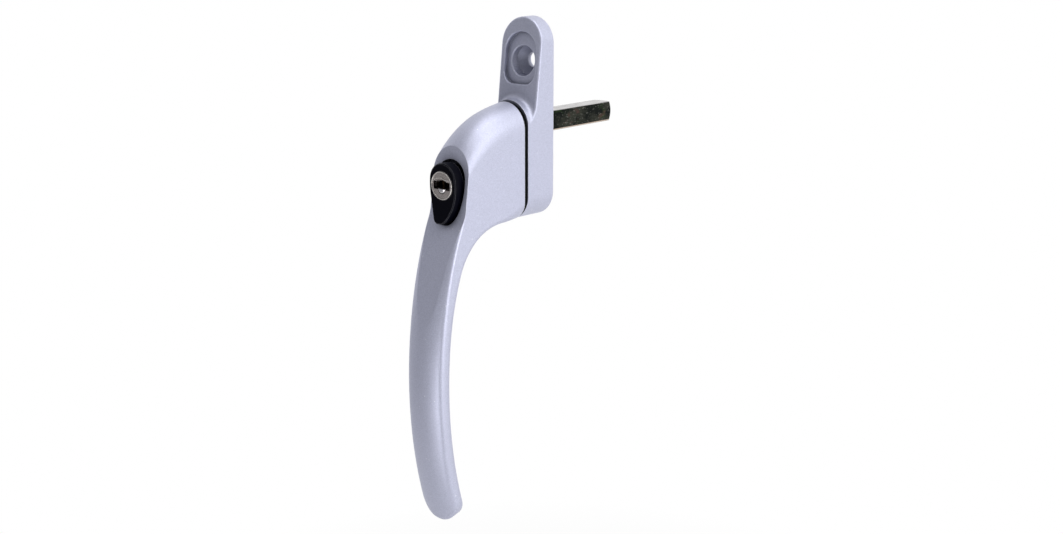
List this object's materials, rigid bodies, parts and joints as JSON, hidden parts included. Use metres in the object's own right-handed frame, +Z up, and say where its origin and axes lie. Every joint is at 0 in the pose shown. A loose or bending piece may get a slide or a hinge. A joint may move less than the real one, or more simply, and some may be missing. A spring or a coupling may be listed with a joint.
{
  "type": "espagnolette window handle",
  "caption": "Key-locking espagnolette window handle: slim window plate, sculpted lever hanging down, push-button lock with key plug, square spindle for the gearbox.",
  "frame": {"origin": "on the spindle axis, in the plane of the window plate's back", "axes": "+Y into the window along the spindle, -Y towards the room, +Z up, +X to the right seen from the room"},
  "size_m": [0.0182, 0.0974, 0.1701],
  "materials": {
    "casting": "satin silver metallic powder paint",
    "button_plastic": "black, soft gloss",
    "gap_plastic": "black, matte",
    "nickel": "brushed nickel plate",
    "post_steel": "bright",
    "brass": "bare",
    "spindle_steel": "zinc plated, mottled",
    "steel": "zinc plated",
    "spring_steel": "oiled spring steel",
    "bush_plastic": "natural white"
  },
  "bodies": {
    "rose": {"rose": "casting", "back_plate": "steel", "plate_rivet_upper": "steel", "plate_rivet_lower": "steel", "neck_bush": "bush_plastic", "thrust_washer": "steel", "index_spring": "spring_steel"},
    "handle": {"lever": "casting", "slide_plate": "gap_plastic", "spindle": "spindle_steel", "spindle_pin": "steel", "neck_circlip": "spring_steel", "index_cam": "steel", "keeper_plate": "steel"},
    "button": {"lock_button": "button_plastic", "lock_housing": "nickel", "lock_bolt": "steel", "button_spring": "spring_steel"},
    "plug": {"lock_plug": "nickel", "keyway_post": "post_steel", "wafer_1": "brass", "wafer_2": "brass", "wafer_3": "brass", "wafer_4": "brass", "plug_cam": "steel", "cam_clip": "spring_steel"}
  },
  "joints": [
    {"name": "handle_turn", "type": "hinge", "parent": "rose", "child": "handle", "pos_m": [0, 0, 0], "axis": [0, 1, 0], "range_deg": [-90, 90], "deforming": ["index_spring"]},
    {"name": "button_push", "type": "slide", "parent": "handle", "child": "button", "axis": [0, 1, 0], "range_m": [0, 0.0045], "stiffness_N_per_m": 600, "springref_m": -0.002, "deforming": ["button_spring"]},
    {"name": "plug_turn", "type": "hinge", "parent": "button", "child": "plug", "pos_m": [0, -0.04, -0.0158], "axis": [0, 1, 0], "range_deg": [0, 90]}
  ]
}
